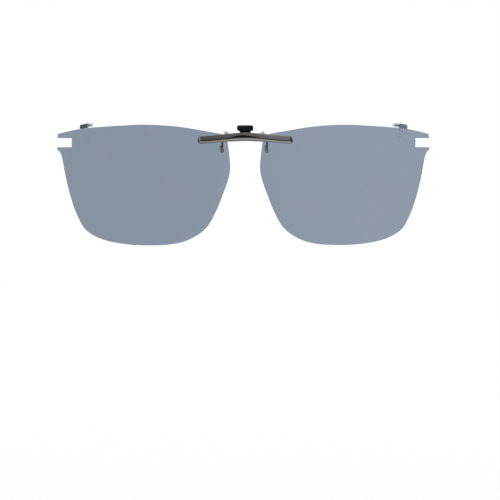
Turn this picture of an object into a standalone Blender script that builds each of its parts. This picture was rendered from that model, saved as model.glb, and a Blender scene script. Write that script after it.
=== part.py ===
"""Custom-cut clip-on sunglasses: two rimless polarised lenses on a bowed bridge with a spring claw clamp.

Row frame: X runs across the face, Y points back towards the wearer, Z is up.
The origin is the middle of the spectacle bridge's front face, where the clamp holds it.
Everything right of the middle is built first and mirrored to the left.
"""

import math

import bmesh
import bpy
from mathutils import Matrix, Vector

MM = 0.001

# The front: both lenses, the cover and the chassis follow one gently wrapped surface.
WRAP_RADIUS = 330 * MM
DROP_RADIUS = 400 * MM
DROP_APEX_Z = -8 * MM
LENS_THICKNESS = 1.1 * MM
LENS_FRONT_Y = -3.4 * MM
LENS_REAR_Y = LENS_FRONT_Y + LENS_THICKNESS
GAP = 0.05 * MM

# The lens outline in millimetres, as (distance from the middle, height).
# Each stretch is one smooth curve, and the stretches meet at corners.
TOP_EDGE = [
    (6.7, -1.1), (7.15, 0.2), (8.7, 0.95), (16, 2.3), (26, 3.85), (37, 4.5), (48, 4.05), (57, 3.4), (62, 2.85),
    (68.7, 1.35), (69.65, 0.85), (69.95, -0.55),
]
NOTCH = [(64.6, -0.55), (64.6, -3.9), (70.0, -3.95)]
SIDE_AND_BOTTOM = [
    (70.0, -4.8), (68.8, -6.1), (68.0, -8.8), (66.6, -16.2), (64.5, -24.2), (62.2, -30.2), (59.0, -35.2),
    (52.6, -38.6), (44.3, -40.2), (36, -40.65), (27, -40.15), (20.3, -38.2), (14.6, -34.2), (11.0, -28.2),
    (8.55, -22.2), (6.4, -16.2), (5.6, -11.8), (6.0, -6.2), (6.7, -1.1),
]

# The bridge: a bowed channel in front of the lenses, and a strip behind them.
BRIDGE_HALF = 17.75 * MM
BRIDGE_DROP = 1.25 * MM
COVER_FRONT_Y = -5.1 * MM
COVER_REAR_Y = -3.5 * MM
COVER_HALF_HEIGHT = 1.5 * MM
COVER_WALL = 0.45 * MM
FLANGE_WALL = 0.35 * MM
COVER_MOUTH_HALF = 7.3 * MM
CHASSIS_FRONT_Y = -2.05 * MM
CHASSIS_REAR_Y = -1.15 * MM
CHASSIS_HALF = 16.6 * MM
CHASSIS_HALF_HEIGHT = 1.2 * MM

# Four screws hold the lenses between the cover and the chassis.
SCREW_X = {"inner": 10.4 * MM, "outer": 14.6 * MM}
SCREW_RADIUS = 0.6 * MM
SCREW_HEAD_RADIUS = 0.95 * MM
SCREW_HEAD_DEPTH = 0.55 * MM
SCREW_TIP_Y = -4.5 * MM
LENS_HOLE_RADIUS = 0.9 * MM
BOSS_RADIUS = 1.0 * MM

# The clamp: a sprung lever on a pin carries the upper claws.
PIN_Y = -3.45 * MM
PIN_Z = -0.1 * MM
PIN_RADIUS = 0.45 * MM
PIN_HALF = 6.45 * MM
PIVOT = (0, PIN_Y, PIN_Z)
BARREL_RADIUS = 0.8 * MM
BARREL_HALF = 6.2 * MM
LUG_INNER_X = 1.9 * MM
LUG_OUTER_X = 2.7 * MM
LUG_RADIUS = 0.6 * MM
KNUCKLE_INNER_X = 1.7 * MM
KNUCKLE_OUTER_X = 4.5 * MM
WEB_TOP_Z = 1.05 * MM
WEB_BOTTOM_Z = 0.62 * MM
WEB_HALF_DEPTH = 0.4 * MM
TONGUE_HALF = 1.5 * MM
TONGUE_HALF_DEPTH = 0.3 * MM
TONGUE_TOP_Z = 3.8 * MM

# The black pinch tab on the lever's tongue.
TAB_WIDTH = 6.1 * MM
TAB_DEPTH = 2.3 * MM
TAB_BOTTOM_Z = 1.95 * MM
TAB_TOP_Z = 4.27 * MM
NECK_WIDTH = 4.1 * MM
NECK_DEPTH = 1.0 * MM
NECK_BOTTOM_Z = 1.25 * MM

# Round wires, with clear silicone sleeves over their ends.
CLAW_RADIUS = 0.3 * MM
LOWER_WIRE_RADIUS = 0.4 * MM
HOOK_RADIUS = 0.35 * MM
SLEEVE_RADIUS = 0.75 * MM
SLEEVE_SLACK = 0.04 * MM
CLAW_ROOT_X = 5.45 * MM
CLAW_ROOT_Z = 0.45 * MM

# Wire routes in millimetres, as (x, y, z).
UPPER_CLAW_ROUTE = [
    (5.45, -2.9, 0.45), (5.45, -1.4, 0.45), (6.35, 0.0, 0.85), (6.85, 1.6, 1.25), (6.85, 4.0, 1.2),
    (6.85, 5.05, 0.5), (6.85, 5.25, -0.8),
]
LOWER_CLAW_ROUTE = [
    (0, -0.68, -0.85), (7.2, -0.6, -0.85), (8.25, -0.56, -1.4), (8.4, -0.56, -4.0), (8.4, 0.1, -5.1),
    (8.4, 2.0, -5.2), (8.4, 4.2, -5.1), (8.4, 5.1, -4.5), (8.4, 5.3, -3.4),
]

# The hooks at the outer top of each lens: straight prongs that rest on the top rim of the spectacles.
HOOK_BLOCK_X = 59.85 * MM
HOOK_BLOCK_WIDTH = 3.3 * MM
HOOK_BLOCK_HEIGHT = 1.65 * MM
HOOK_BLOCK_DEPTH = 2.2 * MM
HOOK_BLOCK_BOTTOM_Z = 3.2 * MM
HOOK_BLOCK_TILT = math.radians(5)
HOOK_BLOCK_Y = 3.3 * MM
HOOK_SLEEVE_X = 58.0 * MM
HOOK_ROUTE = [
    (59.0, 3.35, 4.3), (58.25, 3.35, 4.3), (57.58, 3.63, 4.35), (57.3, 4.3, 4.4), (57.3, 5.5, 4.45),
    (57.3, 7.6, 4.45), (57.3, 9.0, 4.43), (57.3, 9.9, 4.38),
]
FOOT_DEPTH = 1.3 * MM
FOOT_BOND = 0.17 * MM
FOOT_HEIGHT = 4.6 * MM

# The coil springs round the pin.
SPRING_WIRE_RADIUS = 0.125 * MM
SPRING_RADIUS = 0.62 * MM
SPRING_START_X = 2.95 * MM
SPRING_PITCH = 0.27 * MM
SPRING_TURNS = 4.75
SPRING_STEPS = 14

BUMPER_HALF = 4.5 * MM
BUMPER_BOTTOM_Z = -0.35 * MM
BUMPER_TOP_Z = 0.65 * MM

ROUND = 24
SHARP_ANGLE = math.radians(35)
FLAT_ANGLE = math.radians(1)


# ---------------------------------------------------------------- helpers


def clear_scene():
    """Removes whatever the startup file holds."""
    for obj in list(bpy.data.objects):
        bpy.data.objects.remove(obj)


def material(name, color, roughness, metallic=0.0, alpha=1.0):
    """A Principled material of one colour."""
    made = bpy.data.materials.new(name)
    made.use_nodes = True
    shader = made.node_tree.nodes["Principled BSDF"]
    shader.inputs["Base Color"].default_value = (*color, 1.0)
    shader.inputs["Roughness"].default_value = roughness
    shader.inputs["Metallic"].default_value = metallic
    shader.inputs["Alpha"].default_value = alpha
    return made


def add(name, data):
    """Puts a piece being made among the cutters, out of the render, until finish moves it."""
    obj = bpy.data.objects.new(name, data)
    obj.hide_render = True
    obj.display_type = "WIRE"
    CUTTERS.objects.link(obj)
    return obj


def finish(obj, made_of, pivot=(0, 0, 0)):
    """Gives a piece its material, smooth shading and origin, and moves it in with the parts."""
    obj.data.materials.append(made_of)
    obj.data.transform(Matrix.Translation(-Vector(pivot)))
    obj.data.shade_smooth()
    obj.data.set_sharp_from_angle(angle=SHARP_ANGLE)
    obj.location = pivot
    obj.hide_render = False
    obj.display_type = "TEXTURED"
    CUTTERS.objects.unlink(obj)
    PARTS.objects.link(obj)
    return obj


def mesh_of(bm, name):
    """Turns a bmesh into mesh data and frees it."""
    mesh = bpy.data.meshes.new(name)
    bm.to_mesh(mesh)
    bm.free()
    return mesh


def freeze(obj):
    """Replaces an object by the mesh that its curve or modifiers make, with its place in the mesh."""
    graph = bpy.context.evaluated_depsgraph_get()
    mesh = bpy.data.meshes.new_from_object(obj.evaluated_get(graph))
    mesh.transform(obj.matrix_world)
    name = obj.name
    bpy.data.objects.remove(obj)
    bm = bmesh.new()
    bm.from_mesh(mesh)
    bmesh.ops.remove_doubles(bm, verts=bm.verts, dist=1e-6)
    bm.to_mesh(mesh)
    bm.free()
    return add(name, mesh)


def box(name, low, high, bevel=0.0, segments=2, along=None):
    """A box between two corners. Its edges, or only those along one axis, can be rounded."""
    low, high = Vector(low), Vector(high)
    bm = bmesh.new()
    size = high - low
    place = Matrix.Translation((low + high) / 2) @ Matrix.Diagonal((*size, 1.0))
    bmesh.ops.create_cube(bm, size=1.0, matrix=place)
    if bevel:
        edges = [e for e in bm.edges if along is None or abs((e.verts[0].co - e.verts[1].co)[along]) > 1e-7]
        bmesh.ops.bevel(bm, geom=edges, offset=bevel, segments=segments, profile=0.5, affect="EDGES")
    return add(name, mesh_of(bm, name))


def rod(name, start, end, radius, sides=ROUND):
    """A round rod between two points."""
    start, end = Vector(start), Vector(end)
    turn = (end - start).to_track_quat("Z", "Y").to_matrix().to_4x4()
    place = Matrix.Translation((start + end) / 2) @ turn
    depth = (end - start).length
    bm = bmesh.new()
    bmesh.ops.create_cone(
        bm, cap_ends=True, segments=sides, radius1=radius, radius2=radius, depth=depth, matrix=place
    )
    return add(name, mesh_of(bm, name))


def combine(target, tool, operation):
    """Joins a tool to the target, or cuts it away, and removes the tool."""
    modifier = target.modifiers.new("combine", "BOOLEAN")
    modifier.operation = operation
    modifier.object = tool
    done = freeze(target)
    bpy.data.objects.remove(tool)
    return done


def cut(target, *tools):
    for tool in tools:
        target = combine(target, tool, "DIFFERENCE")
    return target


def join(target, *tools):
    for tool in tools:
        target = combine(target, tool, "UNION")
    return target


def smooth(points, steps):
    """Points on a Catmull-Rom curve through the given ones, with that many steps to each stretch."""
    points = [Vector(p) for p in points]
    ends = [2 * points[0] - points[1], *points, 2 * points[-1] - points[-2]]
    found = []
    for a, b, c, d in zip(ends, ends[1:], ends[2:], ends[3:]):
        for step in range(steps):
            t = step / steps
            quadratic = (2 * a - 5 * b + 4 * c - d) * t**2
            cubic = (3 * b - a - 3 * c + d) * t**3
            found.append(0.5 * (2 * b + (c - a) * t + quadratic + cubic))
    return [*found, points[-1]]


def wire(name, points, radius, detail=2):
    """A round wire along the points."""
    curve = bpy.data.curves.new(name, "CURVE")
    curve.dimensions = "3D"
    curve.bevel_depth = radius
    curve.bevel_resolution = detail
    curve.use_fill_caps = True
    spline = curve.splines.new("POLY")
    spline.points.add(len(points) - 1)
    for point, place in zip(spline.points, points):
        point.co = (*place, 1.0)
    return freeze(add(name, curve))


def sleeve(name, points, wire_radius):
    """A silicone sleeve: a round-ended tube over the end of a wire, open where the wire comes in."""
    beyond = points[-1] + (points[-1] - points[-2]).normalized() * 0.5 * MM
    before = points[0] - (points[1] - points[0]).normalized() * 0.5 * MM
    outer = wire(name, [*points, beyond], SLEEVE_RADIUS, detail=3)
    inner = wire("sleeve_bore", [before, *points], wire_radius + SLEEVE_SLACK)
    return cut(outer, inner)


def in_metres(route):
    return [Vector(p) * MM for p in route]


def bow(x):
    """How far the bridge's middle line drops at x: a half cosine from the middle to its ends."""
    return -BRIDGE_DROP * (1 - math.cos(math.pi * x / BRIDGE_HALF)) / 2


def wrap(x):
    """How far the front lies back at x."""
    return x * x / (2 * WRAP_RADIUS)


def drop(z):
    """How far the lens surface lies back at height z, none at the bridge."""
    return ((z - DROP_APEX_Z) ** 2 - DROP_APEX_Z**2) / (2 * DROP_RADIUS)


def shape(obj, step_x, step_z, shift):
    """Slices a solid into a grid seen from the front, then moves each point by shift(x, z)."""
    bm = bmesh.new()
    bm.from_mesh(obj.data)
    bmesh.ops.dissolve_limit(bm, angle_limit=FLAT_ANGLE, verts=bm.verts, edges=bm.edges)
    for axis, step in ((0, step_x), (2, step_z)):
        low = min(v.co[axis] for v in bm.verts)
        high = max(v.co[axis] for v in bm.verts)
        normal = Vector((axis == 0, 0, axis == 2))
        for line in range(math.ceil(low / step), math.floor(high / step) + 1):
            place = normal * line * step
            geom = [*bm.verts, *bm.edges, *bm.faces]
            bmesh.ops.bisect_plane(bm, geom=geom, plane_co=place, plane_no=normal, dist=1e-7)
    for vert in bm.verts:
        vert.co += Vector(shift(vert.co.x, vert.co.z))
    bm.to_mesh(obj.data)
    bm.free()
    return obj


def finish_pair(obj, left_name, made_of, pivot=(0, 0, 0)):
    """Finishes a right-hand piece and its twin on the other side of the middle."""
    mesh = obj.data.copy()
    mesh.transform(Matrix.Scale(-1, 4, (1, 0, 0)))
    mesh.flip_normals()
    finish(obj, made_of, pivot)
    finish(add(left_name, mesh), made_of, pivot)


# ---------------------------------------------------------------- pieces


def lens_outline():
    """The whole outline as points in metres, each stretch smooth between its corners."""
    top = smooth([(x, 0, z) for x, z in TOP_EDGE], 4)
    notch = [Vector((x, 0, z)) for x, z in NOTCH]
    side = smooth([(x, 0, z) for x, z in SIDE_AND_BOTTOM], 4)
    return [p * MM for p in [*top, *notch, *side[:-1]]]


def make_lenses():
    """Each lens is its outline cut from sheet, bent to the front's surface and drilled for two screws."""
    curve = bpy.data.curves.new("lens_right", "CURVE")
    curve.dimensions = "2D"
    curve.fill_mode = "BOTH"
    curve.extrude = LENS_THICKNESS / 2
    points = lens_outline()
    spline = curve.splines.new("POLY")
    spline.points.add(len(points) - 1)
    for point, place in zip(spline.points, points):
        point.co = (place.x, place.z, 0, 1)
    spline.use_cyclic_u = True
    flat = add("lens_right", curve)
    flat.rotation_euler.x = math.radians(90)
    flat.location.y = (LENS_FRONT_Y + LENS_REAR_Y) / 2
    bpy.context.view_layer.update()
    lens = shape(freeze(flat), 4 * MM, 5 * MM, lambda x, z: (0, wrap(x) + drop(z), 0))
    for x in SCREW_X.values():
        ends = (x, LENS_FRONT_Y - 1 * MM, bow(x)), (x, LENS_REAR_Y + 2 * MM, bow(x))
        lens = cut(lens, rod("hole", *ends, LENS_HOLE_RADIUS))
    finish_pair(lens, "lens_left", GREY_LENS)


def bowed(obj):
    """Bends a straight bar to the bridge's bow and wrap."""
    return shape(obj, 1.25 * MM, 1 * MM, lambda x, z: (0, wrap(x), bow(x)))


def make_cover():
    """The cover is a channel, open at the back and at the middle of its top, with four threaded bosses."""
    cover = box(
        "bridge_cover",
        (-BRIDGE_HALF, COVER_FRONT_Y, -COVER_HALF_HEIGHT),
        (BRIDGE_HALF, COVER_REAR_Y, COVER_HALF_HEIGHT),
        bevel=0.8 * MM,
        segments=4,
        along=1,
    )
    inside = box(
        "inside",
        (-BRIDGE_HALF + COVER_WALL, COVER_FRONT_Y + COVER_WALL, -COVER_HALF_HEIGHT + FLANGE_WALL),
        (BRIDGE_HALF - COVER_WALL, 0, COVER_HALF_HEIGHT - FLANGE_WALL),
        bevel=0.45 * MM,
        segments=3,
        along=1,
    )
    mouth = box("mouth", (-COVER_MOUTH_HALF, COVER_FRONT_Y + COVER_WALL, 0), (COVER_MOUTH_HALF, 0, 2 * COVER_HALF_HEIGHT))
    cover = bowed(cut(cover, inside, mouth))
    for x in (*SCREW_X.values(), *(-x for x in SCREW_X.values())):
        front = COVER_FRONT_Y + COVER_WALL / 2 + wrap(x)
        cover = join(cover, rod("boss", (x, front, bow(x)), (x, COVER_REAR_Y + wrap(x), bow(x)), BOSS_RADIUS))
        cover = cut(cover, rod("thread", (x, SCREW_TIP_Y - GAP + wrap(x), bow(x)), (x, 0, bow(x)), SCREW_RADIUS + GAP / 2))
    finish(cover, GUNMETAL)


def make_chassis():
    """The chassis is a strip behind the lenses, with two lugs for the pin and a notch under each upper claw."""
    chassis = box(
        "bridge_chassis",
        (-CHASSIS_HALF, CHASSIS_FRONT_Y, -CHASSIS_HALF_HEIGHT),
        (CHASSIS_HALF, CHASSIS_REAR_Y, CHASSIS_HALF_HEIGHT),
        bevel=0.9 * MM,
        segments=4,
        along=1,
    )
    chassis = bowed(chassis)
    notch_half = CLAW_RADIUS + 0.3 * MM
    notch_z = CLAW_ROOT_Z - CLAW_RADIUS - GAP
    for side in (1, -1):
        lug_x = side * LUG_INNER_X, side * LUG_OUTER_X
        lug = box(
            "lug",
            (min(lug_x), PIN_Y, PIN_Z - LUG_RADIUS),
            (max(lug_x), (CHASSIS_FRONT_Y + CHASSIS_REAR_Y) / 2, PIN_Z + LUG_RADIUS),
        )
        nose = rod("nose", (lug_x[0], PIN_Y, PIN_Z), (lug_x[1], PIN_Y, PIN_Z), LUG_RADIUS)
        claw_x = side * CLAW_ROOT_X
        notch = box(
            "notch",
            (claw_x - notch_half, CHASSIS_FRONT_Y - 1 * MM, notch_z),
            (claw_x + notch_half, CHASSIS_REAR_Y + 1 * MM, notch_z + 2 * MM),
        )
        chassis = cut(join(chassis, lug, nose), notch)
        for x in SCREW_X.values():
            hole = rod("hole", (side * x, CHASSIS_FRONT_Y - 1 * MM, bow(x)), (side * x, 0, bow(x)), SCREW_RADIUS + GAP)
            chassis = cut(chassis, hole)
    bore = rod("bore", (-LUG_OUTER_X - GAP, PIN_Y, PIN_Z), (LUG_OUTER_X + GAP, PIN_Y, PIN_Z), PIN_RADIUS + 0.03 * MM)
    finish(cut(chassis, bore), STEEL)


def make_screws_and_bushes():
    """Each screw comes in from the back. A nylon bush keeps it off the lens and its collar spaces the chassis."""
    for place, x in SCREW_X.items():
        z = bow(x)
        shift = wrap(x)
        head_y = CHASSIS_REAR_Y + GAP + shift
        head = rod(f"lens_screw_{place}_right", (x, head_y, z), (x, head_y + SCREW_HEAD_DEPTH, z), SCREW_HEAD_RADIUS)
        shank = rod("shank", (x, SCREW_TIP_Y + shift, z), (x, head_y + 0.1 * MM, z), SCREW_RADIUS)
        slot = box(
            "slot",
            (x - 1.5 * MM, head_y + 0.3 * MM, z - 0.13 * MM),
            (x + 1.5 * MM, head_y + 1 * MM, z + 0.13 * MM),
        )
        finish_pair(cut(join(head, shank), slot), f"lens_screw_{place}_left", STEEL)
        tube = rod(
            f"lens_bush_{place}_right",
            (x, LENS_FRONT_Y + GAP + shift, z),
            (x, CHASSIS_FRONT_Y - GAP + shift, z),
            LENS_HOLE_RADIUS - GAP,
        )
        collar = rod("collar", (x, LENS_REAR_Y + GAP + shift, z), (x, CHASSIS_FRONT_Y - GAP + shift, z), 1.15 * MM)
        bore = rod("bore", (x, -5 * MM, z), (x, 0, z), SCREW_RADIUS + GAP)
        finish_pair(cut(join(tube, collar), bore), f"lens_bush_{place}_left", NYLON)


def make_lever():
    """The lever turns on the pin. Its knuckles leave room for the lugs and springs, and its tongue carries the tab."""
    lever = rod("claw_lever", (-BARREL_HALF, PIN_Y, PIN_Z), (BARREL_HALF, PIN_Y, PIN_Z), BARREL_RADIUS)
    web = box(
        "web",
        (-BARREL_HALF, PIN_Y - WEB_HALF_DEPTH, PIN_Z),
        (BARREL_HALF, PIN_Y + WEB_HALF_DEPTH, WEB_TOP_Z),
    )
    tongue = box(
        "tongue",
        (-TONGUE_HALF, PIN_Y - TONGUE_HALF_DEPTH, 0),
        (TONGUE_HALF, PIN_Y + TONGUE_HALF_DEPTH, TONGUE_TOP_Z),
    )
    lever = join(lever, web, tongue)
    for side in (1, -1):
        block_x = side * (KNUCKLE_OUTER_X + 0.1 * MM), side * (BARREL_HALF - 0.1 * MM)
        block = box("block", (min(block_x), PIN_Y, PIN_Z + 0.05 * MM), (max(block_x), -2.25 * MM, WEB_TOP_Z - 0.05 * MM))
        room_x = side * KNUCKLE_INNER_X, side * KNUCKLE_OUTER_X
        room = box("room", (min(room_x), PIN_Y - 2 * MM, -2 * MM), (max(room_x), PIN_Y + 2 * MM, WEB_BOTTOM_Z))
        claw_x = side * CLAW_ROOT_X
        socket = rod("socket", (claw_x, -2.95 * MM, CLAW_ROOT_Z), (claw_x, 0, CLAW_ROOT_Z), CLAW_RADIUS + GAP / 2, 12)
        lever = cut(join(lever, block), room, socket)
    bore = rod("bore", (-7 * MM, PIN_Y, PIN_Z), (7 * MM, PIN_Y, PIN_Z), PIN_RADIUS + 0.02 * MM)
    finish(cut(lever, bore), STEEL, PIVOT)
    finish(rod("hinge_pin", (-PIN_HALF, PIN_Y, PIN_Z), (PIN_HALF, PIN_Y, PIN_Z), PIN_RADIUS), STEEL)


def make_tab():
    """The pinch tab is a moulded cap: a pill-shaped grip on a narrower neck, with a pocket for the tongue."""
    tab = box(
        "pinch_tab",
        (-TAB_WIDTH / 2, PIN_Y - TAB_DEPTH / 2, TAB_BOTTOM_Z),
        (TAB_WIDTH / 2, PIN_Y + TAB_DEPTH / 2, TAB_TOP_Z),
        bevel=0.7 * MM,
        segments=3,
    )
    neck = box(
        "neck",
        (-NECK_WIDTH / 2, PIN_Y - NECK_DEPTH / 2, NECK_BOTTOM_Z),
        (NECK_WIDTH / 2, PIN_Y + NECK_DEPTH / 2, TAB_BOTTOM_Z + 1 * MM),
    )
    pocket = box(
        "pocket",
        (-TONGUE_HALF - GAP, PIN_Y - TONGUE_HALF_DEPTH - GAP, 0),
        (TONGUE_HALF + GAP, PIN_Y + TONGUE_HALF_DEPTH + GAP, TONGUE_TOP_Z + GAP),
    )
    finish(cut(join(tab, neck), pocket), BLACK_PLASTIC, PIVOT)


def spring_points():
    """A torsion spring: a leg on the chassis, a helix round the pin, and a leg up the front of the lever's web."""
    points = []
    count = round(SPRING_TURNS * SPRING_STEPS)
    for i in range(count + 1):
        turn = i / SPRING_STEPS
        angle = -math.pi / 2 - 2 * math.pi * turn
        y = PIN_Y + SPRING_RADIUS * math.cos(angle)
        z = PIN_Z + SPRING_RADIUS * math.sin(angle)
        points.append(Vector((SPRING_START_X + SPRING_PITCH * turn, y, z)))
    first = Vector((SPRING_START_X, CHASSIS_FRONT_Y - SPRING_WIRE_RADIUS - GAP, points[0].z))
    last = Vector((points[-1].x, PIN_Y - SPRING_RADIUS, WEB_TOP_Z - 0.15 * MM))
    return [first, *points, last]


def make_springs():
    """Two springs press the upper claws down."""
    spring = wire("lever_spring_right", spring_points(), SPRING_WIRE_RADIUS, 1)
    finish_pair(spring, "lever_spring_left", STEEL)


def make_claws():
    """The upper claws ride on the lever, and one bent wire on the chassis makes both lower claws."""
    route = smooth(in_metres(UPPER_CLAW_ROUTE), 4)
    finish_pair(wire("upper_claw_right", route, CLAW_RADIUS), "upper_claw_left", STEEL, PIVOT)
    end = [p for p in route if p.y > 0.9 * MM]
    finish_pair(sleeve("upper_sleeve_right", end, CLAW_RADIUS), "upper_sleeve_left", SILICONE, PIVOT)
    route = smooth(in_metres(LOWER_CLAW_ROUTE), 4)
    other = [Vector((-p.x, p.y, p.z)) for p in reversed(route[1:])]
    finish(wire("lower_claw_wire", [*other, *route], LOWER_WIRE_RADIUS), STEEL)
    end = [p for p in route if p.y > 0.9 * MM]
    finish_pair(sleeve("lower_sleeve_right", end, LOWER_WIRE_RADIUS), "lower_sleeve_left", SILICONE)


def make_bumper():
    """A soft strip behind the chassis rests on the spectacle bridge."""
    bumper = box(
        "bridge_bumper",
        (-BUMPER_HALF, CHASSIS_REAR_Y + GAP, BUMPER_BOTTOM_Z),
        (BUMPER_HALF, 0, BUMPER_TOP_Z),
        bevel=0.3 * MM,
        along=1,
    )
    finish(bumper, SILICONE)


def make_hooks():
    """Each hook is a wire let into a block that stands on the lens's top edge and on a clear foot bonded behind it."""
    half = HOOK_BLOCK_WIDTH / 2
    low = Vector((-half, -HOOK_BLOCK_DEPTH / 2, 0))
    high = Vector((half, HOOK_BLOCK_DEPTH / 2, HOOK_BLOCK_HEIGHT))
    block = box("hook_right", low, high, bevel=0.25 * MM)
    yaw = Matrix.Rotation(math.atan(HOOK_BLOCK_X / WRAP_RADIUS), 4, "Z")
    turn = yaw @ Matrix.Rotation(HOOK_BLOCK_TILT, 4, "Y")
    block.data.transform(Matrix.Translation((HOOK_BLOCK_X, HOOK_BLOCK_Y, HOOK_BLOCK_BOTTOM_Z)) @ turn)
    route = smooth(in_metres(HOOK_ROUTE), 4)
    hook = join(block, wire("prong", route, HOOK_RADIUS))
    finish_pair(hook, "hook_left", GUNMETAL)
    end = [p for p in route if p.x < HOOK_SLEEVE_X]
    finish_pair(sleeve("hook_sleeve_right", end, HOOK_RADIUS), "hook_sleeve_left", SILICONE)
    foot = box("hook_foot_right", (-half, 0, -FOOT_HEIGHT), (half, FOOT_DEPTH, -GAP), bevel=0.3 * MM, along=1)
    foot_y = LENS_REAR_Y + wrap(HOOK_BLOCK_X) + drop(0) + FOOT_BOND
    foot.data.transform(Matrix.Translation((HOOK_BLOCK_X, foot_y, HOOK_BLOCK_BOTTOM_Z)) @ turn)
    finish_pair(foot, "hook_foot_left", CLEAR_PLASTIC)


clear_scene()
PARTS = bpy.data.collections.new("clip_on_sunglasses")
CUTTERS = bpy.data.collections.new("cutters")
for collection in (PARTS, CUTTERS):
    bpy.context.scene.collection.children.link(collection)

GREY_LENS = material("polarised_lens", (0.26, 0.31, 0.37), 0.05, alpha=0.6)
GUNMETAL = material("gunmetal", (0.22, 0.22, 0.23), 0.25, metallic=1.0)
STEEL = material("steel", (0.42, 0.42, 0.43), 0.3, metallic=1.0)
BLACK_PLASTIC = material("black_plastic", (0.012, 0.012, 0.014), 0.4)
NYLON = material("nylon", (0.75, 0.76, 0.76), 0.5)
SILICONE = material("clear_silicone", (0.86, 0.88, 0.89), 0.3, alpha=0.5)
CLEAR_PLASTIC = material("clear_plastic", (0.9, 0.92, 0.93), 0.1, alpha=0.3)

make_lenses()
make_cover()
make_chassis()
make_screws_and_bushes()
make_lever()
make_tab()
make_springs()
make_claws()
make_bumper()
make_hooks()
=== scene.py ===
# %% [markdown]
# # Clip-on sunglasses
#
# These sunglasses have no arms. Two tinted lenses, cut to the shape of somebody's spectacles, are screwed to
# a small bowed bridge, and a sprung clamp behind it grips the bridge of the spectacles. Two hooks at the
# outer corners rest on their rims and keep the clip level.
#
# The design, with its sizes, joints and bodies, is already packed as a frame. This script only gives it
# its looks: finer surfaces over the plain solids, and a material for every one of them.
# The first cell loads that frame.

# %% Load the frame
import math

import bmesh
import bpy
import numpy as np
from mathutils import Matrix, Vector
from mathutils.geometry import delaunay_2d_cdt


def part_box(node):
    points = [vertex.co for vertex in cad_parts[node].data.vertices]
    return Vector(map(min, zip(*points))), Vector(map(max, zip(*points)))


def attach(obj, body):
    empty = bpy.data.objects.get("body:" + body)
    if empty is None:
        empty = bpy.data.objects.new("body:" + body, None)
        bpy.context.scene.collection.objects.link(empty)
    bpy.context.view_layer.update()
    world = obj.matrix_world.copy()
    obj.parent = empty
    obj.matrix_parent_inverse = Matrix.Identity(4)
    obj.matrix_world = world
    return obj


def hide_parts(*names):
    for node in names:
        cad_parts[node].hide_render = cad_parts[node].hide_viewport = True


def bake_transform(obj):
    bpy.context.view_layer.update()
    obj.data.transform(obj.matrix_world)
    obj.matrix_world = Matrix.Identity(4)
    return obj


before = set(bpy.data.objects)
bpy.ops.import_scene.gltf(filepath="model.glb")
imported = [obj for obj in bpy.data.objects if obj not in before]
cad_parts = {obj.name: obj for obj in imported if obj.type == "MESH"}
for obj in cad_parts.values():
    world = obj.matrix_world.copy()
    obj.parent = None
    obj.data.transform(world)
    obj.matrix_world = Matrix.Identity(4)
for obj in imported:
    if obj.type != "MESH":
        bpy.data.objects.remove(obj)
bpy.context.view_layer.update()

MM = 0.001
SIDES = (("right", 1), ("left", -1))

# %% [markdown]
# ## The camera
#
# A product picture is taken from far away with a long lens, so that near and far parts keep their sizes.
# The camera looks along +Y, from a little to the left and a little above. It aims well below the clip, which
# then hangs in the upper half of the picture. The focal length follows from the width that has to fit.

# %% Camera
CAMERA_DISTANCE = 1.2
CAMERA_YAW = math.radians(3.6)
CAMERA_PITCH = math.radians(2)
PICTURE_WIDTH = 187.6 * MM
PICTURE_CENTRE = Vector((2.15 * MM, 2 * MM, -42.5 * MM))

camera_data = bpy.data.cameras.new("camera")
camera_data.sensor_width = 36
camera_data.lens = 36 * CAMERA_DISTANCE / PICTURE_WIDTH
camera_data.clip_start = 0.01
camera_data.clip_end = 100
camera = bpy.data.objects.new("camera", camera_data)
bpy.context.scene.collection.objects.link(camera)
camera.rotation_euler = (math.pi / 2 - CAMERA_PITCH, 0, -CAMERA_YAW)
camera.location = PICTURE_CENTRE + camera.rotation_euler.to_matrix() @ Vector((0, 0, CAMERA_DISTANCE))
bpy.context.scene.camera = camera
print("the focal length is", round(camera_data.lens), "mm")

# %% [markdown]
# ## The studio
#
# The clip hangs in front of white. What the camera sees straight on is plain white, while the light that
# falls on the clip comes from a studio: bright behind and overhead, dim around the camera. Polished metal
# only looks like metal when part of what it mirrors is dark. The sky's direction is read from its own
# coordinates, and smooth ramps of it add up to the light from there, up to a limit that keeps bright metal
# from burning out. A floor lies far below. It is kept out of the mirrored picture, where its far edge would
# draw a line across the lenses.


# %% Light and floor
SKY_LIMIT = 1.25
FLOOR_GLOW = 0.86


def new_node(tree, kind, **inputs):
    """A node of that kind with its inputs set by name, underscores for spaces, or by number, as i0 and i1.
    A socket given is linked."""
    made = tree.nodes.new(kind)
    for name, value in inputs.items():
        numbered = name[0] == "i" and name[1:].isdigit()
        target = made.inputs[int(name[1:]) if numbered else name.replace("_", " ")]
        if isinstance(value, bpy.types.NodeSocket):
            tree.links.new(value, target)
        else:
            target.default_value = value
    return made


def smooth_ramp(tree, value, low, high, start, end):
    """From start to end as value goes from low to high, eased at both ends."""
    made = new_node(tree, "ShaderNodeMapRange", Value=value)
    made.interpolation_type = "SMOOTHSTEP"
    for name, number in (("From Min", low), ("From Max", high), ("To Min", start), ("To Max", end)):
        made.inputs[name].default_value = number
    return made.outputs[0]


def combine(tree, first, second, operation="ADD"):
    """One number from two, added unless another operation is named."""
    made = new_node(tree, "ShaderNodeMath", i0=first, i1=second)
    made.operation = operation
    return made.outputs[0]


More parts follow.
